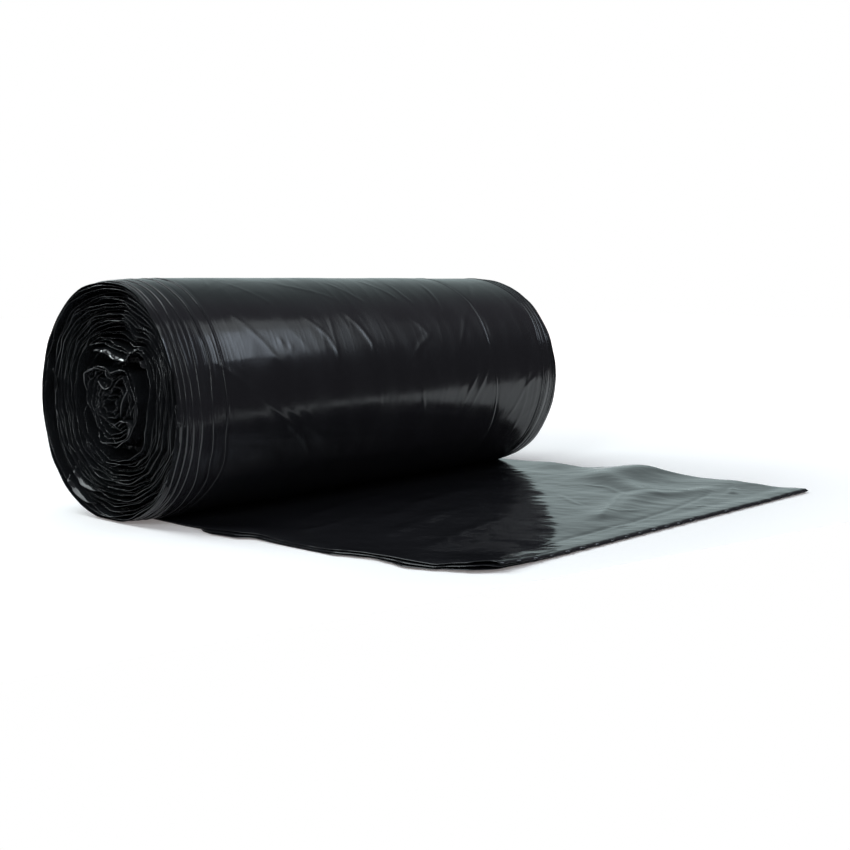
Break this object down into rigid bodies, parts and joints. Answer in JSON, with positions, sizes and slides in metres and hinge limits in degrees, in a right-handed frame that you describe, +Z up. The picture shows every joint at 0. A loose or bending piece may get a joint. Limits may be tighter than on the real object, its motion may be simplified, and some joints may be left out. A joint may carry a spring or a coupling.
{
  "type": "bin bag roll",
  "caption": "Roll of flat-folded bin bags, wound without a core, lying on its side with its first bag pulled out flat to a perforated torn edge.",
  "frame": {"origin": "on the floor under the middle of the wound roll", "axes": "+X along the roll's axis, -Y the way the first bag is pulled out over the floor, +Z up"},
  "size_m": [0.258, 0.2367, 0.1004],
  "materials": {
    "film": "glossy black polyethylene film, finely creased"
  },
  "bodies": {
    "root": {"bag_roll": "film"}
  },
  "joints": []
}
